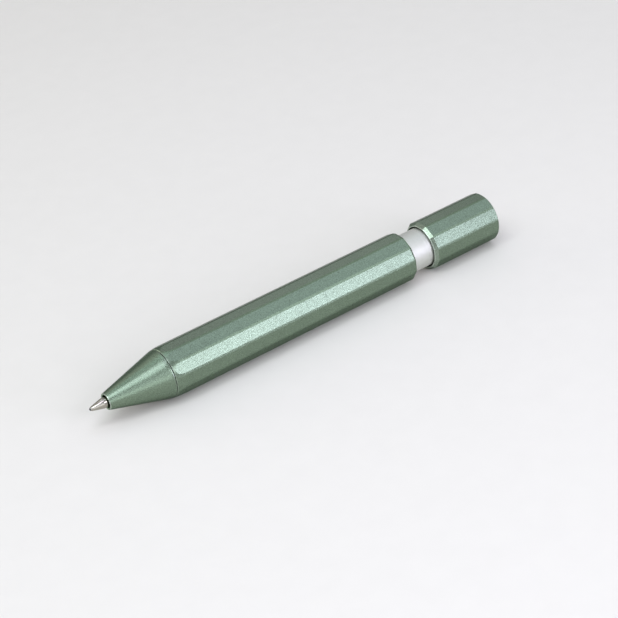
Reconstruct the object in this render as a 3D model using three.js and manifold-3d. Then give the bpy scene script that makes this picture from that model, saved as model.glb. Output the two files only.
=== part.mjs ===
// Retractable ballpoint pen with a twelve-sided barrel. Pressing its cap over a bright guide tube turns a
// cam rotor, which latches the refill with its point out or lets the spring draw it back in.
// Millimetres, +Z up. The pen lies on one of its flats along X, with its point towards -X.
// Stations are measured along X from the seam between nose and barrel, radii from the pen's axis.

import * as THREE from 'three';
import { mergeVertices } from 'three/addons/utils/BufferGeometryUtils.js';
import Module from 'manifold-3d';

// Refill of the standard metal kind, counted from the front of its ball
const refillLength = 98.3;
const refillRadius = 2.95;
const refillWall = 0.28;
const refillShoulderLength = 1.3;
const refillStepWidth = 0.7;
const neckRadius = 1.55;
const neckLength = 3.6;
const ballRadius = 0.4;
const socketLip = { length: 0.24, radius: 0.45 };
const pointCone = { length: 3.0, radius: 1.13 };
const pointShoulderLength = 0.35;
const pointRadius = 1.2;
const pointShankLength = 10.4;
const inkChannelRadius = 0.25;
const inkLength = 58;
const plugRadius = 2.6;
const plugVentRadius = 0.5;
const plugHeadLength = 5;
const plugSpigotLength = 3;

// Return spring round the refill's point
const springWire = 0.38;
const springTurns = 5;
const springPlay = 0.21;
const springRoom = 0.31;
const springSeatDepth = 4.2;

// Click cam: lugs of the rotor, splines of the thrust tube and grooves of the sleeve. Angles in degrees
const lugCount = 4;
const lugAngle = 16;
const lugLength = 2.55;
const lugHeight = 0.65;
const grooveAngle = 22;
const toothRise = 0.75;
const liftClearance = 0.05;
const crownTeeth = 8;
const crownLead = 12;
const crownInset = 0.6;
const crownWidth = 1.1;
const rotorWall = 0.45;
const rotorFloor = 1.0;
const rotorSkirtLength = 3.1;
const stemRadius = 1.2;
const stemLength = 3.2;
const splineLength = 2.0;
const thrustLength = 6.9;
const thrustSkirt = 0.65;
const sleeveWall = 0.32;
const retainerLength = 1.0;

// Guide tube, and the cap that slides on it
const tubeShown = 5.9;
const tubeWall = 0.35;
const tubeSocketDepth = 10;
const tubeFlangeLength = 0.9;
const capLength = 19.4;
const capEndThickness = 1.45;
const capWall = 0.66;
const capLipGap = 0.33;
const capLipLength = 1.0;
const capLipStep = 0.15;
const mouthChamferLength = 1.15;
const mouthChamferDepth = 0.6;
const bushLength = 5;
const capBossLength = 2.2;
const studRadius = 1.2;
const studLength = 6.4;

// Nose and barrel outside. The corners of the bar stand a little above its flats
const flatCount = 12;
const cornerHeight = 0.14;
const noseLength = 14.8;
const tipShown = 4.2;
const noseRimWall = 0.42;
const pointPlay = 0.35;
const shoulderDrop = 0.22;
const barrelShoulderRadius = 15;
const noseShoulderRadius = 10;
const noseShoulderLength = 1.3;
const noseShoulderDrop = 0.25;
const seamBreak = 0.1;
const seamGap = 0.05;
const edgeBreak = 0.15;

// Spigot that screws the nose into the barrel, its seal and the brass insert round it
const refillPlay = 0.2;
const spigotWall = 1.25;
const spigotLength = 7.5;
const sealSection = 0.4;
const sealStation = 1.0;
const insertWall = 0.55;
const insertLength = 7.7;

// Travel of the cap from its place with the point out, and fits
const retractStroke = 5.4;
const pressStroke = 1.4;
const fit = 0.05;
const run = 0.15;

// Segments round the axis: 5 degrees on outsides and on the cam, so that corners of the flats fall on one
const fine = 72;
const coarse = 36;
const slopeSteps = 4;

// Making of the solids: points nearer than this are one, and cutters run this far past what they cut.
// Blocks reach this far into what they grow from and share this part of a pitch, so that they are one body
const weld = 1e-5;
const past = 1;
const root = 0.1;
const sharedPitch = 0.02;

// Stations that follow from the sizes above
const ballFront = -(noseLength + tipShown);
const neckFront = ballFront + pointShankLength;
const neckRear = neckFront + neckLength;
const springSeat = springSeatDepth - noseLength;
const refillBodyFront = neckRear + refillShoulderLength;
const refillRear = ballFront + refillLength;
const refillTubeRear = refillRear - plugHeadLength;
const rotorInner = refillRear + fit;
const rotorRear = rotorInner + rotorFloor;
const crownFront = rotorRear + toothRise + liftClearance;
const crownRoot = crownFront + toothRise;
const thrustFront = crownFront - thrustSkirt;
const thrustRear = crownRoot + thrustLength;
const splineRear = thrustFront + splineLength;
const flangeFace = splineRear + retractStroke + run;
const tubeRear = flangeFace + tubeFlangeLength;
const grooveHalfAngle = grooveAngle / 2;
const lugPitch = 360 / lugCount;
const catchAngle = lugPitch / 2 + lugAngle / 2;
const camSlope = toothRise / (catchAngle - grooveHalfAngle);
const lugFront = rotorInner - lugLength;
const ribFront = rotorInner + camSlope * lugAngle + liftClearance;
const camFront = lugFront - pressStroke - run;
const capBossFront = thrustRear + fit;
const capFloor = capBossFront + capBossLength;
const capRear = capFloor + capEndThickness;
const capFront = capRear - capLength;
const barrelRear = capFront - tubeShown;
const tubeFront = barrelRear - tubeSocketDepth;

// Radii that follow, from the refill outwards
const refillBore = refillRadius - refillWall;
const refillStepRadius = refillRadius - refillStepWidth;
const pointSpigotRadius = pointRadius - refillWall;
const springRadius = neckRadius + springPlay + springWire / 2;
const springChamberRadius = springRadius + springWire / 2 + springRoom;
const noseBoreRadius = pointRadius + pointPlay;
const noseRimRadius = noseBoreRadius + noseRimWall;
const refillBoreRadius = refillRadius + refillPlay;
const spigotRadius = refillBoreRadius + spigotWall;
const sealGrooveRadius = spigotRadius - 2 * sealSection;
const insertBoreRadius = spigotRadius + fit;
const insertRadius = insertBoreRadius + insertWall;
const rotorBoreRadius = plugRadius + run;
const rotorRadius = rotorBoreRadius + rotorWall;
const crownOuterRadius = rotorRadius - crownInset;
const crownInnerRadius = crownOuterRadius - crownWidth;
const thrustBoreRadius = crownOuterRadius + run / 2;
const guideRadius = rotorRadius + run;
const lugRadius = rotorRadius + lugHeight;
const grooveRadius = lugRadius + run;
const sleeveRadius = grooveRadius + sleeveWall;
const tubeBoreRadius = sleeveRadius + fit;
const tubeRadius = tubeBoreRadius + tubeWall;
const capLipRadius = tubeRadius + capLipGap;
const capBoreRadius = capLipRadius + capLipStep;
const flatApothem = capBoreRadius + capWall;
const barRadius = flatApothem + cornerHeight;
const seamRadius = barRadius - shoulderDrop;

const wasm = await Module();
wasm.setup();

function toSolid(geometry) {
  geometry.deleteAttribute('normal');
  geometry.deleteAttribute('uv');
  const merged = mergeVertices(geometry, weld);
  const index = merged.index.array;
  const triangles = [];
  for (let i = 0; i < index.length; i += 3) {
    const [a, b, c] = [index[i], index[i + 1], index[i + 2]];
    if (a !== b && b !== c && c !== a) triangles.push(a, b, c);
  }
  return new wasm.Manifold(new wasm.Mesh({
    numProp: 3,
    vertProperties: new Float32Array(merged.attributes.position.array),
    triVerts: new Uint32Array(triangles),
  }));
}

function named(name, solid, material) {
  const { vertProperties, triVerts } = solid.getMesh();
  const indexed = new THREE.BufferGeometry();
  indexed.setAttribute('position', new THREE.BufferAttribute(vertProperties, 3));
  indexed.setIndex(new THREE.BufferAttribute(triVerts, 1));
  const geometry = indexed.toNonIndexed();
  geometry.computeVertexNormals();
  const mesh = new THREE.Mesh(geometry, material);
  mesh.name = name;
  return mesh;
}

// Solid turned about the pen's axis. Its corners are pairs of station and radius, in order from the front
// round the outside to the rear. One that doesn't begin and end on the axis is a ring
function turned(corners, segments) {
  const points = corners.map(([x, r]) => new THREE.Vector2(r, x));
  const isRing = points[0].x > 0 && points.at(-1).x > 0;
  if (isRing) points.push(points[0].clone());
  return toSolid(new THREE.LatheGeometry(points, segments).rotateZ(-Math.PI / 2));
}

function ring(from, to, inner, outer, segments) {
  return turned([[from, inner], [from, outer], [to, outer], [to, inner]], segments);
}

// Prism or frustum whose sides are the pen's flats
function flatSided(from, to, apothemFrom, apothemTo) {
  const half = Math.PI / flatCount;
  const cornerFrom = apothemFrom / Math.cos(half);
  const cornerTo = apothemTo / Math.cos(half);
  const geometry = new THREE.CylinderGeometry(cornerTo, cornerFrom, to - from, flatCount, 1, false, half);
  return toSolid(geometry.rotateZ(-Math.PI / 2).translate((from + to) / 2, 0, 0));
}

// Block between two radii and two angles, which run in degrees from +Z about +X.
// Its front and rear are each a station, or a slope of stations over the angle
function sector({ from, to, inner, outer, front, rear }) {
  const positions = [];
  const indices = [];
  for (let i = 0; i <= slopeSteps; i++) {
    const angle = from + (to - from) * i / slopeSteps;
    const turn = THREE.MathUtils.degToRad(angle);
    const corners = [
      [front(angle), inner],
      [front(angle), outer],
      [rear(angle), outer],
      [rear(angle), inner],
    ];
    for (const [x, r] of corners) positions.push(x, -r * Math.sin(turn), r * Math.cos(turn));
  }
  for (let i = 0; i < slopeSteps; i++) {
    for (let side = 0; side < 4; side++) {
      const a = 4 * i + side;
      const b = 4 * i + (side + 1) % 4;
      indices.push(a, a + 4, b, b, a + 4, b + 4);
    }
  }
  const last = 4 * slopeSteps;
  indices.push(0, 1, 2, 0, 2, 3, last, last + 2, last + 1, last, last + 3, last + 2);
  const geometry = new THREE.BufferGeometry();
  geometry.setAttribute('position', new THREE.Float32BufferAttribute(positions, 3));
  geometry.setIndex(indices);
  return toSolid(geometry);
}

const joined = (first, ...others) => others.reduce((whole, solid) => whole.add(solid), first);

// Arc that bulges outwards between two points of station and radius, both ends included
function shoulder([x0, r0], [x1, r1], radius) {
  const steps = 6;
  const half = Math.hypot(x1 - x0, r1 - r0) / 2;
  const across = Math.atan2(r1 - r0, x1 - x0);
  const opening = Math.asin(half / radius);
  const centre = [
    (x0 + x1) / 2 + Math.sin(across) * radius * Math.cos(opening),
    (r0 + r1) / 2 - Math.cos(across) * radius * Math.cos(opening),
  ];
  return Array.from({ length: steps + 1 }, (_, i) => {
    const turn = across + Math.PI / 2 + opening * (1 - 2 * i / steps);
    return [centre[0] + radius * Math.cos(turn), centre[1] + radius * Math.sin(turn)];
  });
}

const anodised = { color: 0x86a392, metalness: 0.85, roughness: 0.42 };
const satinSteel = { color: 0xc9c9cc, metalness: 1, roughness: 0.35 };
const polishedSteel = { color: 0xc4bfb8, metalness: 1, roughness: 0.15 };
const springSteel = { color: 0xa9abae, metalness: 1, roughness: 0.3 };
const brass = { color: 0xb5954f, metalness: 1, roughness: 0.35 };
const whiteAcetal = { color: 0xe6e4dd, metalness: 0, roughness: 0.45 };
const blackAcetal = { color: 0x1d1e1f, metalness: 0, roughness: 0.5 };
const rubber = { color: 0x161616, metalness: 0, roughness: 0.8 };
const paste = { color: 0x101218, metalness: 0, roughness: 0.2 };
const finish = (settings) => new THREE.MeshStandardMaterial(settings);

// Turned in one piece: rim, cone, round shoulder and the spigot with its seal groove
function noseCone() {
  const rimBreak = seamBreak / 2;
  const coneRear = [-noseShoulderLength, seamRadius - noseShoulderDrop];
  const coneSlope = (coneRear[1] - noseRimRadius) / (coneRear[0] + noseLength);
  const seamFace = -seamGap / 2;
  const grooveHalf = sealSection + run;
  const outside = turned([
    [-noseLength, 0],
    [-noseLength, noseRimRadius - rimBreak],
    [-noseLength + rimBreak, noseRimRadius + coneSlope * rimBreak],
    ...shoulder(coneRear, [seamFace - seamBreak, seamRadius], noseShoulderRadius),
    [seamFace, seamRadius - seamBreak],
    [seamFace, spigotRadius],
    [sealStation - grooveHalf, spigotRadius],
    [sealStation - grooveHalf, sealGrooveRadius],
    [sealStation + grooveHalf, sealGrooveRadius],
    [sealStation + grooveHalf, spigotRadius],
    [spigotLength - edgeBreak, spigotRadius],
    [spigotLength, spigotRadius - edgeBreak],
    [spigotLength, 0],
  ], fine);
  const boreRear = neckRear - pressStroke;
  const bore = turned([
    [-noseLength - past, 0],
    [-noseLength - past, noseBoreRadius],
    [springSeat, noseBoreRadius],
    [springSeat, springChamberRadius],
    [boreRear - (refillBoreRadius - springChamberRadius), springChamberRadius],
    [boreRear, refillBoreRadius],
    [spigotLength + past, refillBoreRadius],
    [spigotLength + past, 0],
  ], coarse);
  return named('nose_cone', outside.subtract(bore), finish(anodised));
}

function noseSeal() {
  const sides = 8;
  const centre = spigotRadius - sealSection + fit / 2;
  const section = Array.from({ length: sides }, (_, i) => {
    const turn = 2 * Math.PI * i / sides;
    return [sealStation - sealSection * Math.cos(turn), centre + sealSection * Math.sin(turn)];
  });
  return named('nose_seal', turned(section, coarse), finish(rubber));
}

function threadInsert() {
  const insert = ring(fit, insertLength, insertBoreRadius, insertRadius, fine);
  return named('thread_insert', insert, finish(brass));
}

// Milled from round bar: the flats run out on the turned shoulder at the seam
function barrel() {
  const shoulderLength = Math.sqrt(2 * barrelShoulderRadius * (barRadius - seamRadius));
  const seamFace = seamGap / 2;
  const endRadius = flatApothem - edgeBreak;
  const bar = turned([
    [seamFace, 0],
    [seamFace, seamRadius - seamBreak],
    ...shoulder([seamFace + seamBreak, seamRadius], [shoulderLength, barRadius], barrelShoulderRadius),
    [barrelRear - (barRadius - endRadius), barRadius],
    [barrelRear, endRadius],
    [barrelRear, 0],
  ], fine);
  const bore = turned([
    [-past, 0],
    [-past, insertRadius + fit],
    [insertLength + fit, insertRadius + fit],
    [insertLength + fit, sealGrooveRadius],
    [tubeFront, sealGrooveRadius],
    [tubeFront, tubeRadius + fit],
    [barrelRear + past, tubeRadius + fit],
    [barrelRear + past, 0],
  ], fine);
  const flats = flatSided(-past, barrelRear + past, flatApothem, flatApothem);
  return named('barrel', bar.intersect(flats).subtract(bore), finish(anodised));
}

// Pressed into the barrel. The flange at its rear keeps the thrust tube, and so the cap, from coming off
function guideTube() {
  const tube = turned([
    [tubeFront + fit, tubeBoreRadius],
    [tubeFront + fit, tubeRadius],
    [tubeRear - edgeBreak, tubeRadius],
    [tubeRear, tubeRadius - edgeBreak],
    [tubeRear, guideRadius],
    [flangeFace, guideRadius],
    [flangeFace, tubeBoreRadius],
  ], fine);
  return named('guide_tube', tube, finish(satinSteel));
}

function camRetainer() {
  const rear = camFront - fit;
  const collar = ring(rear - retainerLength, rear, guideRadius, sleeveRadius, fine);
  return named('cam_retainer', collar, finish(springSteel));
}

// Sleeve with a rib between each two grooves. A rib's front has two slopes: the first leads a lug up to the
// catch wall in its middle, the second leads it past that wall to the next groove
function camSleeve() {
  const rear = flangeFace - fit;
  const sleeve = ring(camFront, rear, grooveRadius, sleeveRadius, fine);
  const ribs = [];
  for (let start = 0; start < 360; start += lugPitch) {
    const slopes = [
      [start + grooveHalfAngle, start + catchAngle + sharedPitch * lugPitch],
      [start + catchAngle, start + lugPitch - grooveHalfAngle],
    ];
    for (const [from, to] of slopes) {
      ribs.push(sector({
        from,
        to,
        inner: guideRadius,
        outer: (grooveRadius + sleeveRadius) / 2,
        front: (angle) => ribFront + camSlope * (angle - from),
        rear: () => rear,
      }));
    }
  }
  return named('cam_sleeve', joined(sleeve, ...ribs), finish(whiteAcetal));
}

function lugs(inner, front, rear) {
  return Array.from({ length: lugCount }, (_, i) => {
    const from = i * lugPitch - lugAngle / 2;
    return sector({
      from,
      to: from + lugAngle,
      inner,
      outer: lugRadius,
      front: () => front,
      rear: (angle) => rear(angle - from),
    });
  });
}

// Ring of saw teeth whose slope rises over each pitch from one station to another
function crown({ lead, from, to, front, rear }) {
  const pitch = 360 / crownTeeth;
  return Array.from({ length: crownTeeth }, (_, i) => {
    const start = i * pitch + lead;
    return sector({
      from: start + from * pitch,
      to: start + to * pitch,
      inner: crownInnerRadius,
      outer: crownOuterRadius,
      front: (angle) => front((angle - start) / pitch),
      rear: (angle) => rear((angle - start) / pitch),
    });
  });
}

// Cup over the rear end of the refill, with four lugs outside and the crown on its floor
function camRotor() {
  const skirtFront = rotorInner - rotorSkirtLength;
  const cup = turned([
    [rotorInner, 0],
    [rotorInner, rotorBoreRadius],
    [skirtFront, rotorBoreRadius],
    [skirtFront, rotorRadius],
    [rotorRear, rotorRadius],
    [rotorRear, stemRadius],
    [rotorRear + stemLength, stemRadius],
    [rotorRear + stemLength, 0],
  ], coarse);
  const teeth = crown({
    lead: 0,
    from: -sharedPitch,
    to: 1,
    front: () => rotorRear - root,
    rear: (share) => rotorRear + toothRise * share,
  });
  const feet = lugs((rotorBoreRadius + rotorRadius) / 2, lugFront, (angle) => rotorInner + camSlope * angle);
  return named('cam_rotor', joined(cup, ...feet, ...teeth), finish(blackAcetal));
}

// Carries the cap's push to the rotor. Its splines ride in the grooves, and its crown leads the rotor's by
// a few degrees, so that a lug steps on to the next slope as soon as it leaves its groove
function thrustTube() {
  const studFloor = thrustRear - studLength / 2 - fit;
  const tube = turned([
    [thrustFront, thrustBoreRadius],
    [thrustFront, rotorRadius],
    [thrustRear, rotorRadius],
    [thrustRear, studRadius + fit],
    [studFloor, studRadius + fit],
    [studFloor, stemRadius + run],
    [crownRoot, stemRadius + run],
    [crownRoot, thrustBoreRadius],
  ], coarse);
  const teeth = crown({
    lead: crownLead,
    from: 0,
    to: 1 + sharedPitch,
    front: (share) => crownFront + toothRise * share,
    rear: () => crownRoot + root,
  });
  const splines = lugs((thrustBoreRadius + rotorRadius) / 2, thrustFront, () => splineRear);
  return named('thrust_tube', joined(tube, ...splines, ...teeth), finish(whiteAcetal));
}

function capStud() {
  const front = thrustRear - studLength / 2;
  const rear = front + studLength;
  const stud = turned([[front, 0], [front, studRadius], [rear, studRadius], [rear, 0]], coarse);
  return named('cap_stud', stud, finish(satinSteel));
}

// Milled like the barrel. Twelve flat chamfers run from its sides to the thin round lip of its mouth
function capShell() {
  const endRadius = flatApothem - edgeBreak;
  const bar = turned([
    [capFront, 0],
    [capFront, barRadius],
    [capRear - (barRadius - endRadius), barRadius],
    [capRear, endRadius],
    [capRear, 0],
  ], fine);
  const mouthApothem = flatApothem - mouthChamferDepth;
  const fullApothem = mouthApothem + capLength * mouthChamferDepth / mouthChamferLength;
  const mouth = flatSided(capFront, capRear, mouthApothem, fullApothem);
  const studFloor = thrustRear + studLength / 2 + fit;
  const bore = turned([
    [capFront - past, 0],
    [capFront - past, capLipRadius],
    [capFront + capLipLength, capLipRadius],
    [capFront + capLipLength, capBoreRadius],
    [capFloor, capBoreRadius],
    [capFloor, rotorRadius],
    [capBossFront, rotorRadius],
    [capBossFront, studRadius + fit],
    [studFloor, studRadius + fit],
    [studFloor, 0],
  ], fine);
  const flats = flatSided(capFront - past, capRear + past, flatApothem, flatApothem);
  return named('cap_shell', bar.intersect(flats).intersect(mouth).subtract(bore), finish(anodised));
}

function capBush() {
  const front = capFront + capLipLength + fit;
  const bush = ring(front, front + bushLength, tubeRadius + fit, capBoreRadius - fit, fine);
  return named('cap_bush', bush, finish(blackAcetal));
}

// Path through points, one step of the sweep between each two
class PointPath extends THREE.Curve {
  constructor(points) {
    super();
    this.points = points;
  }

  getPoint(t, target = new THREE.Vector3()) {
    const place = t * (this.points.length - 1);
    const before = Math.min(Math.floor(place), this.points.length - 2);
    return target.lerpVectors(this.points[before], this.points[before + 1], place - before);
  }

  getUtoTmapping(u) {
    return u;
  }
}

// Coil whose wire turns along the axis at both ends and stands square on its seats
function returnSpring() {
  const stepsPerTurn = 8;
  const steps = springTurns * stepsPerTurn;
  const front = springSeat + fit;
  const rear = neckRear - fit;
  const coilLength = rear - front - 4 * springWire;
  const onCoil = (x, step) => {
    const turn = 2 * Math.PI * step / stepsPerTurn;
    return new THREE.Vector3(x, -springRadius * Math.sin(turn), springRadius * Math.cos(turn));
  };
  const points = [onCoil(front, 0), onCoil(front + springWire, 0)];
  for (let i = 0; i <= steps; i++) {
    points.push(onCoil(front + 2 * springWire + coilLength * i / steps, i + 0.5));
  }
  points.push(onCoil(rear - springWire, steps + 1), onCoil(rear, steps + 1));
  let leastGap = Infinity;
  points.forEach((point, i) => {
    for (const other of points.slice(i + stepsPerTurn / 2)) {
      leastGap = Math.min(leastGap, point.distanceTo(other) - springWire);
    }
  });
  console.log(`return_spring: least gap to itself ${leastGap.toFixed(2)} mm`);
  const sides = 5;
  const section = new THREE.Shape(Array.from({ length: sides }, (_, i) => {
    const turn = 2 * Math.PI * i / sides;
    return new THREE.Vector2(springWire / 2 * Math.cos(turn), springWire / 2 * Math.sin(turn));
  }));
  const sweep = { steps: points.length - 1, extrudePath: new PointPath(points) };
  return named('return_spring', toSolid(new THREE.ExtrudeGeometry(section, sweep)), finish(springSteel));
}

function refillTube() {
  const body = turned([
    [neckFront, pointSpigotRadius + fit],
    [neckFront, neckRadius],
    [neckRear, neckRadius],
    [neckRear, refillStepRadius],
    [refillBodyFront, refillRadius],
    [refillTubeRear, refillRadius],
    [refillTubeRear, refillBore],
    [refillBodyFront + refillWall, refillBore],
    [neckRear + refillWall, pointSpigotRadius + fit],
  ], coarse);
  return named('refill_tube', body, finish(polishedSteel));
}

// Turned point: the lip is rolled over the ball, and the ink channel runs through to the spigot's rear
function refillPoint() {
  const ballCentre = ballFront + ballRadius;
  const socketRadius = ballRadius + fit / 2;
  const lipTurn = Math.acos((socketLip.length - ballRadius) / socketRadius);
  const channelTurn = Math.asin(inkChannelRadius / socketRadius);
  const socketSteps = 5;
  const socket = Array.from({ length: socketSteps + 1 }, (_, i) => {
    const turn = channelTurn + (lipTurn - channelTurn) * i / socketSteps;
    return [ballCentre + socketRadius * Math.cos(turn), socketRadius * Math.sin(turn)];
  });
  const point = turned([
    [ballFront + socketLip.length, socketLip.radius],
    [ballFront + pointCone.length, pointCone.radius],
    [ballFront + pointCone.length + pointShoulderLength, pointRadius],
    [neckFront - fit, pointRadius],
    [neckFront - fit, pointSpigotRadius],
    [neckRear - fit, pointSpigotRadius],
    [neckRear - fit, inkChannelRadius],
    ...socket,
  ], coarse);
  return named('refill_point', point, finish(polishedSteel));
}

function refillBall() {
  const ball = new THREE.SphereGeometry(ballRadius, 16, 10).translate(ballFront + ballRadius, 0, 0);
  return named('refill_ball', toSolid(ball), finish(polishedSteel));
}

function refillInk() {
  const radius = refillBore - fit;
  const rear = refillBodyFront + inkLength;
  const column = turned([
    [neckRear + fit, 0],
    [neckRear + fit, pointSpigotRadius],
    [neckRear + refillWall, pointSpigotRadius],
    [refillBodyFront + refillWall, radius],
    [rear, radius],
    [rear, 0],
  ], coarse);
  return named('refill_ink', column, finish(paste));
}

function refillPlug() {
  const front = refillTubeRear - plugSpigotLength;
  const plug = ring(front, refillRear, plugVentRadius, plugRadius, coarse);
  return named('refill_plug', plug, finish(whiteAcetal));
}

const pen = new THREE.Group();
pen.add(
  noseCone(), noseSeal(), threadInsert(), barrel(), guideTube(), camRetainer(), camSleeve(), camRotor(),
  thrustTube(), capStud(), capShell(), capBush(), returnSpring(), refillTube(), refillPoint(), refillBall(),
  refillInk(), refillPlug());

// Origin under the middle of the pen's length, on the surface that it lies on
const middle = (ballFront + capRear) / 2;
for (const mesh of pen.children) mesh.geometry.translate(-middle, 0, flatApothem);

export default pen;
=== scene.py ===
# Looks of a retractable ballpoint pen that lies on one of its twelve flats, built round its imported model.
# Metres, +X from the point to the cap, +Z up. Outlines are pairs of a station along X and a radius.
from math import acos, asin, atan2, cos, hypot, pi, radians, sin, sqrt, tau

import bmesh
import bpy
from mathutils import Matrix, Vector


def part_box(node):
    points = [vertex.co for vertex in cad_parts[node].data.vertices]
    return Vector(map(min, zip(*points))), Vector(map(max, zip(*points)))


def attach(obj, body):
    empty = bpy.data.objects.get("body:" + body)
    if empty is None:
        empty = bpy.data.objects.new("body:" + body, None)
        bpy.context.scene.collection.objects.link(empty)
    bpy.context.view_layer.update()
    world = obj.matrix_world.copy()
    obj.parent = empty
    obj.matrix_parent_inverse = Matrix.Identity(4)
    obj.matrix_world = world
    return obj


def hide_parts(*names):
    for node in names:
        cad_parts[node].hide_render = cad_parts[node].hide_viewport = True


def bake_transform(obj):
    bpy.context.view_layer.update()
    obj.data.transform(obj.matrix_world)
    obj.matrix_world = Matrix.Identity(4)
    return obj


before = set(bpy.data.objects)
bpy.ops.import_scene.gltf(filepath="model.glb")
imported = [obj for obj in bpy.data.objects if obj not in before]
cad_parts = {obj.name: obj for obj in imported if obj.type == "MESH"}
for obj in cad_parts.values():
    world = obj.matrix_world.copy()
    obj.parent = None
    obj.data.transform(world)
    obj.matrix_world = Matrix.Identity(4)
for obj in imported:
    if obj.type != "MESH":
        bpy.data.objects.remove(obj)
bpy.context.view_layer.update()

mm = 0.001


# The view: a short telephoto lens looks down on the pen from beyond its nose, turned a little to the right,
# over a pale table top. Windows low at the viewer's right, patches of bright ceiling and the walls light
# it, each a panel as bright as that part of the room.
def linear(code):
    """Linear colour of an sRGB hex value such as 'a0b1c2'."""
    parts = [int(code[i:i + 2], 16) / 255 for i in (0, 2, 4)]
    return [c / 12.92 if c <= 0.04045 else ((c + 0.055) / 1.055) ** 2.4 for c in parts] + [1.0]


def add(tree, kind, inputs=(), **settings):
    """A new node, with its settings, and for each input a value or the socket that is linked to it."""
    node = tree.nodes.new(kind)
    for name, value in settings.items():
        setattr(node, name, value)
    for key, value in dict(inputs).items():
        if isinstance(value, bpy.types.NodeSocket):
            tree.links.new(value, node.inputs[key])
        else:
            node.inputs[key].default_value = value
    return node


def blank_material(name):
    """A material with no nodes, and its tree."""
    material = bpy.data.materials.new(name)
    material.use_nodes = True
    material.node_tree.nodes.clear()
    return material, material.node_tree


scene = bpy.context.scene
scene.view_settings.view_transform = "Standard"

camera_place = Vector((-220.96, -345.01, 265.65)) * mm
camera_aim = Vector((2.90, -0.56, 4.45)) * mm
camera_roll = radians(7.07)
sensor = 36.0
focal_in_widths = 2139 / 618

camera = bpy.data.objects.new("camera", bpy.data.cameras.new("camera"))
camera.data.sensor_width = sensor
camera.data.lens = sensor * focal_in_widths
camera.data.clip_start = 10 * mm
facing = (camera_aim - camera_place).to_track_quat("-Z", "Y").to_matrix().to_4x4()
camera.matrix_world = Matrix.Translation(camera_place) @ facing @ Matrix.Rotation(-camera_roll, 4, "Z")
scene.collection.objects.link(camera)
scene.camera = camera

# Matt white laminate with a barely visible mottle
laminate, tree = blank_material("white_laminate")
place = add(tree, "ShaderNodeTexCoord").outputs["Object"]
mottle = add(tree, "ShaderNodeTexNoise", {"Vector": place, "Scale": 1 / (6 * mm), "Detail": 3.0})
tone = add(tree, "ShaderNodeMix", {0: mottle.outputs["Fac"], 6: linear("dad7d0"), 7: linear("dedbd4")},
           data_type="RGBA")
surface = add(tree, "ShaderNodeBsdfPrincipled", {"Base Color": tone.outputs[2], "Roughness": 0.7})
add(tree, "ShaderNodeOutputMaterial", {"Surface": surface.outputs["BSDF"]})

floor_reach = 1.5
floor_mesh = bpy.data.meshes.new("floor")
corners = [(floor_reach * x, floor_reach * y, 0) for x, y in ((-1, -1), (1, -1), (1, 1), (-1, 1))]
floor_mesh.from_pydata(corners, [], [(0, 1, 2, 3)])
floor = bpy.data.objects.new("floor", floor_mesh)
floor.data.materials.append(laminate)
scene.collection.objects.link(floor)

world = bpy.data.worlds.new("room")
world.use_nodes = True
world.node_tree.nodes.clear()
room = add(world.node_tree, "ShaderNodeBackground", {"Color": linear("fafcff"), "Strength": 0.42})
add(world.node_tree, "ShaderNodeOutputWorld", {"Surface": room.outputs["Background"]})
scene.world = world


def panel(name, around, above, width, height, radiance, colour):
    """A soft lamp that faces the pen, at an angle around it from +X and one above the floor, in degrees."""
    lamp = bpy.data.lights.new(name, "AREA")
    lamp.shape = "RECTANGLE"
    lamp.size = width
    lamp.size_y = height
    lamp.energy = radiance * pi * width * height
    lamp.color = linear(colour)[:3]
    lift = Matrix.Rotation(radians(-above), 4, "Y")
    direction = (Matrix.Rotation(radians(around), 4, "Z") @ lift).to_3x3() @ Vector((1, 0, 0))
    item = bpy.data.objects.new(name, lamp)
    item.location = direction * panel_distance
    item.rotation_euler = direction.to_track_quat("Z", "Y").to_euler()
    scene.collection.objects.link(item)


panel_distance = 0.6
panel("window_low", -60, 12, 0.20, 0.20, 7.5, "e6e1ff")
panel("window_high", -77, 32, 0.20, 0.20, 6.2, "f0edff")
panel("front_low", -110, 12, 0.40, 0.20, 1.96, "f3f5ff")
panel("front_high", -103, 32, 0.20, 0.20, 1.1, "ecefff")
panel("ceiling_front", -131, 54, 0.20, 0.20, 5.2, "ebf0ff")
panel("ceiling_centre", -120, 74, 0.20, 0.20, 3.15, "eae5ff")
panel("ceiling_left", -166, 64, 0.20, 0.20, 4.5, "f2fffd")
panel("ceiling_end", -177, 49, 0.16, 0.16, 4.0, "f2f5ff")
panel("ceiling_right", 0, 64, 0.20, 0.40, 1.46, "e2e7ff")
panel("end_window", 6, 24, 0.30, 0.22, 0.7, "ebfff2")
panel("shelf", 33, 54, 0.20, 0.20, 0.44, "f4ffee")
panel("ceiling_top", 80, 73, 0.24, 0.24, 1.2, "e5f6ff")
panel("window_side", -49, 45, 0.20, 0.20, 2.0, "eef3ff")
panel("wall_right", 56, 33, 0.22, 0.20, 0.76, "f7e7ff")
panel("wall_rear", 130, 12, 0.40, 0.20, 2.6, "fffcf0")
panel("ceiling_rear", 100, 50, 0.35, 0.30, 0.46, "fff8f5")


# Refill, front end: a point turned from nickel silver, whose lip is rolled over a ball of tungsten carbide.
# Like all turned pieces here it is one outline swept round the axis, with small rounds at its edges.
# Pieces that fit into each other keep a small clearance.
axis_height = (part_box("barrel")[0].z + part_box("barrel")[1].z) / 2
fit = 0.05 * mm


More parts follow.
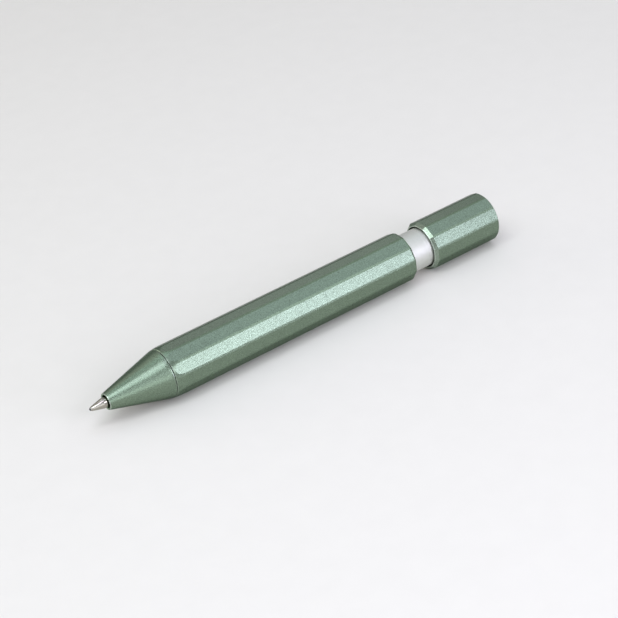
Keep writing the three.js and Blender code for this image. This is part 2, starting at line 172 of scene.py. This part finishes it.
def softened(corners, steps=8):
    """Outline of the corners, each (station, radius, round), with an arc of that round at each corner."""
    outline = []
    count = len(corners)
    for i, (x, r, size) in enumerate(corners):
        here = Vector((x, r))
        before = Vector(corners[i - 1][:2]) - here
        after = Vector(corners[(i + 1) % count][:2]) - here
        if not size or not before.length or not after.length:
            outline.append((x, r))
            continue
        opening = before.angle(after)
        reach = size / max(abs(sin(opening / 2) / cos(opening / 2)), 1e-6)
        first = here + before.normalized() * reach
        middle = here + (before.normalized() + after.normalized()).normalized() * size / sin(opening / 2)
        start = first - middle
        end = here + after.normalized() * reach - middle
        sweep = start.angle_signed(end)
        for step in range(steps + 1):
            arm = start.copy()
            arm.rotate(Matrix.Rotation(-sweep * step / steps, 2))
            outline.append(tuple(middle + arm))
    return outline


def creased(mesh, limit):
    """Smooth faces, with a crease at each edge that bends more than the limit, in degrees."""
    work = bmesh.new()
    work.from_mesh(mesh)
    bmesh.ops.remove_doubles(work, verts=work.verts, dist=1e-7)
    bmesh.ops.recalc_face_normals(work, faces=work.faces)
    for face in work.faces:
        face.smooth = True
    for edge in work.edges:
        edge.smooth = edge.calc_face_angle(0) < radians(limit)
    work.to_mesh(mesh)
    work.free()


def piece(name, mesh, body, node, material):
    """An object that rides on a body, stands for a CAD node and takes the given material as its finish."""
    item = bpy.data.objects.new(name, mesh)
    scene.collection.objects.link(item)
    mesh.materials.clear()
    mesh.materials.append(material)
    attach(item, body)
    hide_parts(node)
    return item


def turned(name, outline, segments=180):
    """Mesh of an outline swept round the pen's axis. One off the axis at both ends closes to a ring. A third
    number of an outline's point says how pale the edge is painted there, from 0 to 1: partly worn bare
    metal, partly a painted highlight."""
    verts = []
    wear_and_highlight = []
    for x, r, *more in outline:
        wear_and_highlight += (more or [0.0]) * segments
        for k in range(segments):
            turn = tau * k / segments
            verts.append((x, -r * sin(turn), axis_height + r * cos(turn)))
    rows = len(outline)
    closes = outline[0][1] > 0 and outline[-1][1] > 0
    faces = []
    for row in range(rows if closes else rows - 1):
        for k in range(segments):
            a, b = row * segments, (row + 1) % rows * segments
            faces.append((a + k, a + (k + 1) % segments, b + (k + 1) % segments, b + k))
    mesh = bpy.data.meshes.new(name)
    mesh.from_pydata(verts, [], faces)
    mesh.attributes.new("wear_and_glint", "FLOAT", "POINT").data.foreach_set("value", wear_and_highlight)
    creased(mesh, 13)
    return mesh


def metal(name, colour, roughness, line, depth, spread):
    """Lathe-turned metal: fine lines round the axis at a spacing and of a depth, its roughness uneven."""
    material, tree = blank_material(name)
    place = add(tree, "ShaderNodeTexCoord").outputs["Object"]
    stretch = add(tree, "ShaderNodeMapping", {"Vector": place, "Scale": (1, 0.02, 0.02)})
    lines = add(tree, "ShaderNodeTexNoise", {"Vector": stretch.outputs[0], "Scale": 1 / line, "Detail": 4.0,
                                             "Roughness": 0.6})
    patches = add(tree, "ShaderNodeTexNoise", {"Vector": place, "Scale": 1 / (1.5 * mm), "Detail": 3.0})
    gloss = add(tree, "ShaderNodeMapRange", {
        "Value": patches.outputs["Fac"], "From Min": 0.3, "From Max": 0.7,
        "To Min": roughness - spread, "To Max": roughness + spread})
    dull = [c * 0.86 for c in linear(colour)[:3]] + [1.0]
    tone = add(tree, "ShaderNodeMix", {0: lines.outputs["Fac"], 6: dull, 7: linear(colour)},
               data_type="RGBA")
    relief = add(tree, "ShaderNodeBump", {
        "Height": lines.outputs["Fac"], "Strength": 0.5, "Distance": depth})
    surface = add(tree, "ShaderNodeBsdfPrincipled", {
        "Base Color": tone.outputs[2], "Metallic": 1.0, "Roughness": gloss.outputs[0],
        "Normal": relief.outputs[0]})
    add(tree, "ShaderNodeOutputMaterial", {"Surface": surface.outputs["BSDF"]})
    return material


# Nickel silver, bright from the lathe: warm grey, with hairlines 0.1 mm apart
nickel_silver = metal("turned_nickel_silver", "aaa69b", 0.12, 0.1 * mm, 0.003 * mm, 0.03)
# Ground tungsten carbide, close to a mirror under a film of ink
carbide = metal("ground_carbide", "5b5c60", 0.08, 0.2 * mm, 0.0005 * mm, 0.03)

ball_low, ball_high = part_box("refill_ball")
ball_radius = (ball_high.x - ball_low.x) / 2
ball_centre = (ball_high.x + ball_low.x) / 2
socket_radius = ball_radius + 0.015 * mm
lip_length = 0.24 * mm
lip_radius = 0.45 * mm
channel_radius = 0.25 * mm
point_low, point_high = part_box("refill_point")
point_radius = (point_high.z - point_low.z) / 2
cone_length = 3.0 * mm
cone_radius = 1.13 * mm
shoulder_length = 0.35 * mm
spigot_radius = 0.92 * mm
neck_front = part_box("refill_tube")[0].x

lip_turn = acos((ball_low.x + lip_length - ball_centre) / socket_radius)
channel_turn = asin(channel_radius / socket_radius)
socket_steps = 16
socket = [channel_turn + (lip_turn - channel_turn) * i / socket_steps for i in range(socket_steps + 1)]
point_outline = softened([
    (ball_low.x + lip_length, lip_radius, 0.04 * mm),
    (ball_low.x + cone_length, cone_radius, 0.5 * mm),
    (ball_low.x + cone_length + shoulder_length, point_radius, 0.15 * mm),
    (neck_front - fit, point_radius, 0.05 * mm),
    (neck_front - fit, spigot_radius, 0),
    (point_high.x, spigot_radius, 0),
    (point_high.x, channel_radius, 0),
]) + [(ball_centre + socket_radius * cos(turn), socket_radius * sin(turn)) for turn in socket]
piece("turned_point", turned("turned_point", point_outline), "refill", "refill_point",
      nickel_silver)

ball_steps = 32
ball_turns = [pi * i / ball_steps for i in range(ball_steps + 1)]
ball_outline = [(ball_centre - ball_radius * cos(turn), ball_radius * sin(turn)) for turn in ball_turns]
ball_outline[0] = (ball_low.x, 0.0)
ball_outline[-1] = (ball_high.x, 0.0)
piece("writing_ball", turned("writing_ball", ball_outline, 72), "ball", "refill_ball",
      carbide)

# Refill, body: a drawn steel tube swaged down to a neck that holds the point. Paste ink fills two thirds of
# it, and a moulded plug with a vent closes its rear end.
tube_low, tube_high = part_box("refill_tube")
plug_low, plug_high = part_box("refill_plug")
body_radius = (tube_high.z - tube_low.z) / 2
body_wall = 0.28 * mm
neck_radius = 1.55 * mm
neck_length = 3.6 * mm
step_radius = 2.25 * mm
swage_length = 1.3 * mm
plug_radius = (plug_high.z - plug_low.z) / 2
vent_radius = 0.5 * mm
neck_rear = tube_low.x + neck_length
body_front = neck_rear + swage_length


def moulded(name, colour, roughness, grain, depth, coat=0.0):
    """Moulded plastic: faint flow marks in its colour and the eroded grain of its mould, at a spacing."""
    material, tree = blank_material(name)
    place = add(tree, "ShaderNodeTexCoord").outputs["Object"]
    flow = add(tree, "ShaderNodeTexNoise", {"Vector": place, "Scale": 1 / (3 * mm), "Detail": 3.0,
                                            "Distortion": 1.5})
    erosion = add(tree, "ShaderNodeTexNoise", {"Vector": place, "Scale": 1 / grain, "Detail": 3.0})
    shade = [c * 0.88 for c in linear(colour)[:3]] + [1.0]
    tone = add(tree, "ShaderNodeMix", {0: flow.outputs["Fac"], 6: shade, 7: linear(colour)},
               data_type="RGBA")
    gloss = add(tree, "ShaderNodeMapRange", {
        "Value": erosion.outputs["Fac"], "From Min": 0.3, "From Max": 0.7,
        "To Min": roughness - 0.06, "To Max": roughness + 0.06})
    relief = add(tree, "ShaderNodeBump", {
        "Height": erosion.outputs["Fac"], "Strength": 0.5, "Distance": depth})
    surface = add(tree, "ShaderNodeBsdfPrincipled", {
        "Base Color": tone.outputs[2], "Roughness": gloss.outputs[0], "Normal": relief.outputs[0],
        "Coat Weight": coat})
    add(tree, "ShaderNodeOutputMaterial", {"Surface": surface.outputs["BSDF"]})
    return material


def dressed(node, material):
    """Gives a CAD node that keeps its shape a finished material."""
    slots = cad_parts[node].data.materials
    slots.clear()
    slots.append(material)


# Drawn steel tube, nickel plated: a little duller than the point, with long faint draw marks
plated_steel = metal("nickel_plated_steel", "b5b4b2", 0.24, 0.3 * mm, 0.003 * mm, 0.05)
# Acetal in its natural white, matt from the mould
white_acetal = moulded("natural_white_acetal", "e6e4dd", 0.45, 0.12 * mm, 0.004 * mm)
# Paste ink, nearly black, wet and streaky
ink = moulded("black_ink_paste", "15171f", 0.2, 0.6 * mm, 0.02 * mm, coat=0.5)

body_outline = softened([
    (tube_low.x, spigot_radius + fit, 0),
    (tube_low.x, neck_radius, 0.15 * mm),
    (neck_rear, neck_radius, 0.1 * mm),
    (neck_rear, step_radius, 0.2 * mm),
    (body_front, body_radius, 0.4 * mm),
    (tube_high.x, body_radius, 0.08 * mm),
    (tube_high.x, body_radius - body_wall, 0),
    (body_front + body_wall, body_radius - body_wall, 0),
    (neck_rear + body_wall, spigot_radius + fit, 0),
])
piece("swaged_tube", turned("swaged_tube", body_outline, 120), "refill", "refill_tube",
      plated_steel)

plug_outline = softened([
    (plug_low.x, vent_radius, 0),
    (plug_low.x, plug_radius, 0.3 * mm),
    (plug_high.x, plug_radius, 0.2 * mm),
    (plug_high.x, vent_radius, 0.1 * mm),
])
piece("moulded_plug", turned("moulded_plug", plug_outline, 96), "refill", "refill_plug",
      white_acetal)
dressed("refill_ink", ink)


# Return spring: hard-drawn steel wire wound on a mandrel, with five working turns and a closed turn at each
# end. It stands between the seat in the nose and the refill's step.
spring_low, spring_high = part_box("return_spring")
wire_radius = 0.19 * mm
spring_radius = (spring_high.z - spring_low.z) / 2 - wire_radius
working_turns = 5

# Wire along a path: the path's edges become a curve, and a round section is swept along it
wire = bpy.data.node_groups.new("wire_along_a_path", "GeometryNodeTree")
for title, kind in (("Geometry", "Geometry"), ("Wire Radius", "Float"), ("Sides", "Int"),
                    ("Material", "Material")):
    wire.interface.new_socket(title, in_out="INPUT", socket_type="NodeSocket" + kind)
wire.interface.new_socket("Geometry", in_out="OUTPUT", socket_type="NodeSocketGeometry")
given = add(wire, "NodeGroupInput")
route = add(wire, "GeometryNodeMeshToCurve", {"Mesh": given.outputs["Geometry"]})
section = add(wire, "GeometryNodeCurvePrimitiveCircle", {"Resolution": given.outputs["Sides"],
                                                         "Radius": given.outputs["Wire Radius"]})
swept = add(wire, "GeometryNodeCurveToMesh", {"Curve": route.outputs["Curve"],
                                              "Profile Curve": section.outputs["Curve"], "Fill Caps": True})
solid = add(wire, "GeometryNodeRealizeInstances", {"Geometry": swept.outputs["Mesh"]})
coloured = add(wire, "GeometryNodeSetMaterial", {"Geometry": solid.outputs[0],
                                                 "Material": given.outputs["Material"]})
add(wire, "NodeGroupOutput", {"Geometry": coloured.outputs[0]})


def made_by(tree, name, mesh, values):
    """Plain mesh of what a tree of geometry nodes makes of a mesh, with values for its named inputs."""
    seed = bpy.data.objects.new(name, mesh)
    scene.collection.objects.link(seed)
    modifier = seed.modifiers.new(name, "NODES")
    modifier.node_group = tree
    for socket in tree.interface.items_tree:
        if socket.in_out == "INPUT" and socket.name in values:
            modifier[socket.identifier] = values[socket.name]
    result = bpy.data.meshes.new_from_object(seed.evaluated_get(bpy.context.evaluated_depsgraph_get()))
    bpy.data.objects.remove(seed)
    result.name = name
    return result


def winding(name, turns, station_at, radius_at, steps=40):
    """Line that winds round the pen's axis, right-handed. Station and radius follow from the turns."""
    verts = []
    for i in range(round(turns * steps) + 1):
        wound = i / steps
        r = radius_at(wound)
        verts.append((station_at(wound), -r * sin(tau * wound), axis_height + r * cos(tau * wound)))
    mesh = bpy.data.meshes.new(name)
    mesh.from_pydata(verts, [(i, i + 1) for i in range(len(verts) - 1)], [])
    return mesh


# Hard-drawn spring steel: grey, with the drawing die's fine lines and patches of thin oxide
spring_steel = metal("drawn_spring_steel", "9a9b9d", 0.3, 0.15 * mm, 0.003 * mm, 0.08)

closed_pitch = 2.05 * wire_radius
spring_length = spring_high.x - spring_low.x
working_pitch = (spring_length - 2 * wire_radius - 2 * closed_pitch) / working_turns


def spring_station(wound):
    working = min(max(wound - 1, 0), working_turns)
    return spring_low.x + wire_radius + closed_pitch * (wound - working) + working_pitch * working


spring_path = winding("spring_path", working_turns + 2, spring_station, lambda wound: spring_radius)
spring_mesh = made_by(wire, "wound_spring", spring_path,
                      {"Wire Radius": wire_radius, "Sides": 16, "Material": spring_steel})
creased(spring_mesh, 30)
spring = bpy.data.objects.new("wound_spring", spring_mesh)
scene.collection.objects.link(spring)
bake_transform(spring)
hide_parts("return_spring")


# Barrel: bar of aluminium alloy, turned inside and at the ends, with twelve flats milled along it, then
# bead-blasted and anodised sage green. Between two flats a narrow strip of the turned round is left, and
# towards the nose each flat runs out on the turned shoulder in a round tongue.
flat_count = 12
flat_steps = 14
strip_steps = 3
barrel_low, barrel_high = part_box("barrel")
apothem = axis_height
bar_radius = 6.0 * mm
seam_radius = 5.78 * mm
seam_break = 0.18 * mm
seam_land = 0.03 * mm
round_steps = 4
shoulder_radius = 15 * mm
shoulder_steps = 10
edge_break = 0.15 * mm
rear_break = (0.36 * mm, 0.14 * mm)


def anodised(name, colour):
    """Bead-blasted, dyed anodised aluminium: each grain lies at its own slant and takes its own tint, under
    a clear oxide skin. Marked edges are painted paler, towards bare aluminium: partly real wear, partly a
    painted highlight on the edges. Real grains are 0.05 mm, drawn 0.12 mm."""
    material, tree = blank_material(name)
    place = add(tree, "ShaderNodeTexCoord").outputs["Object"]
    grains = add(tree, "ShaderNodeTexVoronoi", {"Vector": place, "Scale": 1 / (0.12 * mm)})
    clouds = add(tree, "ShaderNodeTexNoise", {"Vector": place, "Scale": 1 / (7 * mm), "Detail": 3.0})
    deep = [c * 0.93 for c in linear(colour)[:3]] + [1.0]
    pale = [c * 1.07 for c in linear(colour)[:3]] + [1.0]
    dye = add(tree, "ShaderNodeMix", {0: clouds.outputs["Fac"], 6: deep, 7: pale}, data_type="RGBA")
    chance = add(tree, "ShaderNodeSeparateColor", {"Color": grains.outputs["Color"]})
    tint = add(tree, "ShaderNodeMapRange", {"Value": chance.outputs["Red"], "To Min": 0.8, "To Max": 1.2})
    lively = add(tree, "ShaderNodeVectorMath", {0: dye.outputs[2], "Scale": tint.outputs[0]},
                 operation="SCALE")
    # Pale edge colour: bare aluminium where the edge is worn, and a painted highlight that stands in for the
    # glints of the edges
    wear_and_glint = add(tree, "ShaderNodeAttribute", attribute_name="wear_and_glint").outputs["Fac"]
    edge = add(tree, "ShaderNodeMix", {0: wear_and_glint, 6: lively.outputs[0], 7: linear("c9d3c8")}, data_type="RGBA")
    gloss = add(tree, "ShaderNodeMapRange", {
        "Value": chance.outputs["Green"], "To Min": 0.26, "To Max": 0.32})
    lean = add(tree, "ShaderNodeVectorMath", {0: grains.outputs["Color"], 1: (0.5, 0.5, 0.5)},
               operation="SUBTRACT")
    slant = add(tree, "ShaderNodeVectorMath", {0: lean.outputs[0], "Scale": 0.08}, operation="SCALE")
    facing = add(tree, "ShaderNodeNewGeometry").outputs["Normal"]
    slanted = add(tree, "ShaderNodeVectorMath", {0: facing, 1: slant.outputs[0]}, operation="ADD")
    level = add(tree, "ShaderNodeVectorMath", {0: slanted.outputs[0]}, operation="NORMALIZE")
    surface = add(tree, "ShaderNodeBsdfPrincipled", {
        "Base Color": edge.outputs[2], "Metallic": 1.0, "Roughness": gloss.outputs[0],
        "Normal": level.outputs[0], "Specular Tint": linear("a4aca4"), "Coat Weight": 0.3,
        "Coat Roughness": 0.3})
    add(tree, "ShaderNodeOutputMaterial", {"Surface": surface.outputs["BSDF"]})
    return material


sage = anodised("bead_blasted_sage_anodised_aluminium", "728470")

repeat = bpy.data.node_groups.new("round_the_axis", "GeometryNodeTree")
for title, kind in (("Geometry", "Geometry"), ("Count", "Int"), ("Axis Height", "Float"),
                    ("Material", "Material")):
    repeat.interface.new_socket(title, in_out="INPUT", socket_type="NodeSocket" + kind)
repeat.interface.new_socket("Geometry", in_out="OUTPUT", socket_type="NodeSocketGeometry")
given = add(repeat, "NodeGroupInput")
points = add(repeat, "GeometryNodeMeshLine", {"Count": given.outputs["Count"], "Offset": (0, 0, 0)})
step = add(repeat, "ShaderNodeMath", {0: tau, 1: given.outputs["Count"]}, operation="DIVIDE")
turn = add(repeat, "ShaderNodeMath", {0: add(repeat, "GeometryNodeInputIndex").outputs[0],
                                      1: step.outputs[0]}, operation="MULTIPLY")
angles = add(repeat, "ShaderNodeCombineXYZ", {"X": turn.outputs[0]})
copies = add(repeat, "GeometryNodeInstanceOnPoints", {
    "Points": points.outputs["Mesh"], "Instance": given.outputs["Geometry"], "Rotation": angles.outputs[0]})
solid = add(repeat, "GeometryNodeRealizeInstances", {"Geometry": copies.outputs[0]})
welded = add(repeat, "GeometryNodeMergeByDistance", {"Geometry": solid.outputs[0], "Distance": 1e-6})
lift = add(repeat, "ShaderNodeCombineXYZ", {"Z": given.outputs["Axis Height"]})
placed = add(repeat, "GeometryNodeTransform", {
    "Geometry": welded.outputs[0], "Translation": lift.outputs[0]})
coloured = add(repeat, "GeometryNodeSetMaterial", {"Geometry": placed.outputs[0],
                                                   "Material": given.outputs["Material"]})
add(repeat, "NodeGroupOutput", {"Geometry": coloured.outputs[0]})


def milled(name, rows_at):
    """Mesh of twelve like slices. rows_at(angle) gives a slice's outline at an angle from its flat's middle,
    as (station, radius, paleness), the paleness being partly wear and partly a painted highlight."""
    flat_half = acos(apothem / bar_radius)
    slice_half = pi / flat_count
    strip = [flat_half + (slice_half - flat_half) * i / strip_steps for i in range(1, strip_steps + 1)]
    flat = [flat_half * (2 * i / flat_steps - 1) for i in range(flat_steps + 1)]
    columns = [-angle for angle in reversed(strip)] + flat + strip
    outlines = [rows_at(angle) for angle in columns]
    verts = [(x, -r * sin(angle), r * cos(angle))
             for angle, outline in zip(columns, outlines) for x, r, wear_and_highlight in outline]
    rows = len(outlines[0])
    closes = outlines[0][0][1] > 0 and outlines[0][-1][1] > 0
    faces = []
    for column in range(len(columns) - 1):
        for row in range(rows if closes else rows - 1):
            a, b = column * rows, (column + 1) * rows
            after = (row + 1) % rows
            faces.append((a + row, a + after, b + after, b + row))
    mesh = bpy.data.meshes.new(name)
    mesh.from_pydata(verts, [], faces)
    wear_and_glint = mesh.attributes.new("wear_and_glint", "FLOAT", "POINT")
    wear_and_glint.data.foreach_set("value", [wear_and_highlight for outline in outlines for x, r, wear_and_highlight in outline])
    whole = made_by(repeat, name, mesh, {"Count": flat_count, "Axis Height": axis_height, "Material": sage})
    creased(whole, 3)
    return whole


def outer_radius(angle):
    return min(bar_radius, apothem / cos(angle))


barrel_bore = 3.6 * mm
insert_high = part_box("thread_insert")[1]
insert_radius = insert_high.z - axis_height
insert_rear = insert_high.x + fit
guide_low, guide_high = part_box("guide_tube")
guide_radius = (guide_high.z - guide_low.z) / 2
guide_socket = guide_low.x - fit
socket_break = 0.05 * mm
barrel_shoulder_rear = barrel_low.x + sqrt(2 * shoulder_radius * (bar_radius - seam_radius))
end_radius = apothem - edge_break
# Paleness of the seam's crests: partly worn bare metal, partly a painted glint along the seam
seam_wear_and_glint = 0.35


def seam_edge(face, radius, side):
    """The rounded edge of a part at the seam, from its face outwards, as (station, radius, paleness); the
    crest is painted pale, partly as wear and partly as a painted glint.
    """
    turns = [pi / 2 * i / round_steps for i in range(round_steps + 1)]
    return [(face + side * seam_break * (1 - cos(turn)), radius - seam_break * (1 - sin(turn)),
             seam_wear_and_glint * max(0.0, -cos(2 * turn))) for turn in turns]


def barrel_rows(angle):
    reach = outer_radius(angle)
    missing = max(0.0, shoulder_radius ** 2 - (shoulder_radius - bar_radius + reach) ** 2)
    runout = barrel_shoulder_rear - sqrt(missing)
    start = barrel_low.x + seam_break + seam_land
    rows = seam_edge(barrel_low.x, seam_radius, 1)
    for i in range(shoulder_steps + 1):
        x = start + (runout - start) * i / shoulder_steps
        sag = shoulder_radius - sqrt(shoulder_radius ** 2 - (barrel_shoulder_rear - x) ** 2)
        rows.append((x, min(bar_radius - sag, reach), 0.0))
    rows += [
        (barrel_high.x - rear_break[0], reach, 0.0),
        (barrel_high.x, reach - rear_break[1], 0.0),
        (barrel_high.x, guide_radius + fit + socket_break, 0.0),
        (barrel_high.x - socket_break, guide_radius + fit, 0.0),
        (guide_socket, guide_radius + fit, 0.0),
        (guide_socket, barrel_bore, 0.0),
        (insert_rear, barrel_bore, 0.0),
        (insert_rear, insert_radius + fit, 0.0),
        (barrel_low.x, insert_radius + fit, 0.0),
    ]
    return rows


piece("milled_barrel", milled("milled_barrel", barrel_rows), "barrel", "barrel", sage)


# Thread insert: a brass bush pressed into the front of the barrel, turned, with a fine thread inside that
# takes the nose.
insert_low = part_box("thread_insert")[0]
insert_bore = 4.45 * mm
# Brass from the lathe: warm yellow, with tool marks one can just see
turned_brass = metal("turned_brass", "b5954f", 0.3, 0.12 * mm, 0.006 * mm, 0.06)
insert_outline = softened([
    (insert_low.x, insert_bore, 0.1 * mm),
    (insert_low.x, insert_radius, 0.12 * mm),
    (insert_high.x, insert_radius, 0.12 * mm),
    (insert_high.x, insert_bore, 0.1 * mm),
])
piece("brass_insert", turned("brass_insert", insert_outline), "barrel", "thread_insert",
      turned_brass)


# Guide tube: stainless steel, drawn thin, pressed into the barrel and made satin with a fine abrasive belt.
# Its flange at the rear is rolled inwards and keeps the thrust tube in.
# Satin stainless steel: pale, with a broad soft sheen instead of a mirror image
satin_steel = metal("satin_stainless_steel", "d3d5cd", 0.58, 0.16 * mm, 0.003 * mm, 0.03)
guide_bore = guide_radius - 0.35 * mm
flange_bore = 3.35 * mm
flange_face = guide_high.x - 0.9 * mm
guide_outline = softened([
    (guide_low.x, guide_bore, 0),
    (guide_low.x, guide_radius, 0.1 * mm),
    (guide_high.x, guide_radius, 0.15 * mm),
    (guide_high.x, flange_bore, 0),
    (flange_face, flange_bore, 0),
    (flange_face, guide_bore, 0),
])
piece("drawn_tube", turned("drawn_tube", guide_outline), "barrel", "guide_tube", satin_steel)


# Click cam: a sleeve moulded from white acetal with the guide ribs and catches, a rotor moulded from black
# acetal, and a spring steel collar that holds both in the guide tube. Their CAD solids carry the real form.
# Acetal dyed black, matt from the mould
black_acetal = moulded("black_acetal", "1d1e1f", 0.4, 0.1 * mm, 0.004 * mm)
dressed("cam_sleeve", white_acetal)
dressed("cam_rotor", black_acetal)
dressed("cam_retainer", spring_steel)


# Thrust tube: moulded from white acetal, with the mating crown and four splines. A turned steel stud joins
# it to the boss of the cap.
dressed("thrust_tube", white_acetal)
stud_low, stud_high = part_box("cap_stud")
stud_radius = (stud_high.z - stud_low.z) / 2
stud_outline = softened([
    (stud_low.x, 0.0, 0),
    (stud_low.x, stud_radius, 0.2 * mm),
    (stud_high.x, stud_radius, 0.2 * mm),
    (stud_high.x, 0.0, 0),
])
piece("turned_stud", turned("turned_stud", stud_outline, 72), "cap", "cap_stud", satin_steel)


# Cap: milled and finished like the barrel. Twelve flat chamfers run to the thin round lip of its mouth, and
# a boss inside its end takes the stud. A bush of black acetal, snapped in behind the lip, slides on the
# tube.
cap_low, cap_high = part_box("cap_shell")
mouth_length = 0.8 * mm
mouth_depth = 0.6 * mm
# Paleness of the mouth's chamfers, the lip and the rear edge of the cap: partly worn bare metal, partly
# painted highlights on these edges
mouth_wear_and_glint = 0.2
lip_bore = 5.05 * mm
lip_depth = 1.0 * mm
lip_break = 0.06 * mm
lip_edge = 0.12 * mm
lip_wear_and_glint = 0.9
end_wear_and_glint = 0.4
wear_and_glint_reach = 0.02 * mm
cap_bore = 5.2 * mm
boss_radius = 3.2 * mm
cap_floor = cap_high.x - 1.45 * mm
boss_front = cap_floor - 2.2 * mm


def cap_rows(angle):
    reach = outer_radius(angle)
    lip = (apothem - mouth_depth) / cos(angle)
    mouth = cap_low.x + mouth_length * (reach * cos(angle) - apothem + mouth_depth) / mouth_depth
    slope = (reach - lip) / hypot(mouth - cap_low.x, reach - lip)
    inside = [
        (stud_high.x + fit, 0.0, 0.0),
        (stud_high.x + fit, stud_radius + fit, 0.0),
        (boss_front, stud_radius + fit, 0.0),
        (boss_front, boss_radius, 0.0),
        (cap_floor, boss_radius, 0.0),
        (cap_floor, cap_bore, 0.0),
        (cap_low.x + lip_depth, cap_bore, 0.0),
        (cap_low.x + lip_depth, lip_bore, 0.0),
        (cap_low.x + lip_break, lip_bore, 0.0),
        (cap_low.x, lip_bore + lip_break, lip_wear_and_glint / 3),
    ]
    outside = [
        (cap_low.x, lip - wear_and_glint_reach, lip_wear_and_glint),
        (cap_low.x + lip_edge / 3, lip + lip_edge / 3 * slope, lip_wear_and_glint),
        (cap_low.x + lip_edge, lip + lip_edge * slope, mouth_wear_and_glint),
        (mouth, reach, mouth_wear_and_glint),
        (mouth + wear_and_glint_reach, reach, 0.0),
        (cap_high.x - (reach - end_radius), reach, 0.0),
        (cap_high.x, end_radius, end_wear_and_glint),
        (cap_high.x, end_radius * 0.98, 0.0),
        (cap_high.x, 0.0, 0.0),
    ]
    return inside + outside


piece("milled_cap", milled("milled_cap", cap_rows), "cap", "cap_shell", sage)

bush_low, bush_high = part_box("cap_bush")
bush_radius = (bush_high.z - bush_low.z) / 2
bush_bore = guide_radius + fit
bush_outline = softened([
    (bush_low.x, bush_bore, 0.1 * mm),
    (bush_low.x, bush_radius, 0.15 * mm),
    (bush_high.x, bush_radius, 0.15 * mm),
    (bush_high.x, bush_bore, 0.1 * mm),
])
piece("slide_bush", turned("slide_bush", bush_outline), "cap", "cap_bush", black_acetal)


# Nose: turned from the same alloy and finished like the barrel. Its spigot carries a rolled thread and, in a
# groove in front of it, a rubber seal that keeps the nose from working loose.
nose_low, nose_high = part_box("nose_cone")
rim_radius = 1.97 * mm
nose_bore = 1.55 * mm
rim_break = 0.08 * mm
nose_face = barrel_low.x - fit
seam = barrel_low.x - fit / 2
cone_rear = (-1.3 * mm, 5.53 * mm)
cone_slope = (cone_rear[1] - rim_radius) / (seam + cone_rear[0] - nose_low.x)
nose_shoulder = 10 * mm
screw_radius = 4.4 * mm
root_radius = 4.05 * mm
thread_end = 0.2 * mm
groove_floor = 3.6 * mm
groove = (0.45 * mm, 1.55 * mm)
spring_seat = seam - 10.6 * mm
chamber_radius = 2.45 * mm
chamber_rear = seam - 7.1 * mm
refill_bore = 3.15 * mm


def arc_between(start, end, radius, steps):
    """Points on an arc that bulges outwards between two points of an outline, both included."""
    half = hypot(end[0] - start[0], end[1] - start[1]) / 2
    across = atan2(end[1] - start[1], end[0] - start[0])
    opening = asin(half / radius)
    middle = ((start[0] + end[0]) / 2 + sin(across) * radius * cos(opening),
              (start[1] + end[1]) / 2 - cos(across) * radius * cos(opening))
    turns = [across + pi / 2 + opening * (1 - 2 * i / steps) for i in range(steps + 1)]
    return [(middle[0] + radius * cos(turn), middle[1] + radius * sin(turn)) for turn in turns]


shoulder_rear = nose_face - seam_break - seam_land
shoulder = arc_between((seam + cone_rear[0], cone_rear[1]), (shoulder_rear, seam_radius), nose_shoulder, 10)
nose_outline = [
    (nose_low.x, nose_bore + rim_break),
    # The rim's round is painted pale, brightest at its crest: partly worn metal, partly a painted highlight
    (nose_low.x, rim_radius - rim_break, 0.5),
    (nose_low.x + rim_break * 0.3, rim_radius - rim_break * 0.3, 0.9),
    (nose_low.x + rim_break, rim_radius, 0.5),
    (nose_low.x + 2 * rim_break, rim_radius + 2 * rim_break * cone_slope),
    *shoulder,
    *reversed(seam_edge(nose_face, seam_radius, -1)),
    (nose_face, screw_radius),
    (seam + groove[0], screw_radius),
    (seam + groove[0], groove_floor),
    (seam + groove[1], groove_floor),
    (seam + groove[1], screw_radius),
    (seam + groove[1] + thread_end, root_radius),
    (nose_high.x - thread_end, root_radius),
    (nose_high.x, root_radius - thread_end),
    (nose_high.x, refill_bore),
    (chamber_rear + (refill_bore - chamber_radius), refill_bore),
    (chamber_rear, chamber_radius),
    (spring_seat, chamber_radius),
    (spring_seat, nose_bore),
    (nose_low.x + rim_break, nose_bore),
]
piece("turned_nose", turned("turned_nose", nose_outline), "nose", "nose_cone", sage)

# The thread is a ridge wound on the spigot's root, which sinks into it over the first and the last turn
thread_pitch = 0.75 * mm
thread_turns = 7
ridge_radius = 0.25 * mm
thread_front = seam + groove[1] + 0.35 * mm


def ridge_at(wound):
    sunk = max(0.0, 1 - wound, wound - thread_turns + 1)
    return screw_radius - ridge_radius - (ridge_radius + screw_radius - root_radius) * sunk / 2


def ridge_station(wound):
    return thread_front + thread_pitch * wound


thread_mesh = made_by(wire, "rolled_thread", winding("thread_path", thread_turns, ridge_station, ridge_at),
                      {"Wire Radius": ridge_radius, "Sides": 12, "Material": sage})
creased(thread_mesh, 35)
piece("rolled_thread", thread_mesh, "nose", "nose_cone", sage)

# Nitrile rubber: black and dull, with the grain of its mould and a flash line round its inside and outside
nitrile = moulded("moulded_nitrile_rubber", "1a1a1a", 0.75, 0.08 * mm, 0.006 * mm)
seal_low, seal_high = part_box("nose_seal")
seal_section = (seal_high.x - seal_low.x) / 2
seal_centre = (seal_high.z - seal_low.z) / 2 - seal_section
seal_steps = 32
flash = 0.02 * mm
seal_turns = [tau * (i + 0.5) / seal_steps for i in range(seal_steps)]
seal_outline = [((seal_low.x + seal_high.x) / 2 - seal_section * cos(turn),
                 seal_centre + (seal_section + (flash if abs(sin(turn)) > 0.99 else 0)) * sin(turn))
                for turn in seal_turns]
piece("rubber_seal", turned("rubber_seal", seal_outline), "seal", "nose_seal", nitrile)
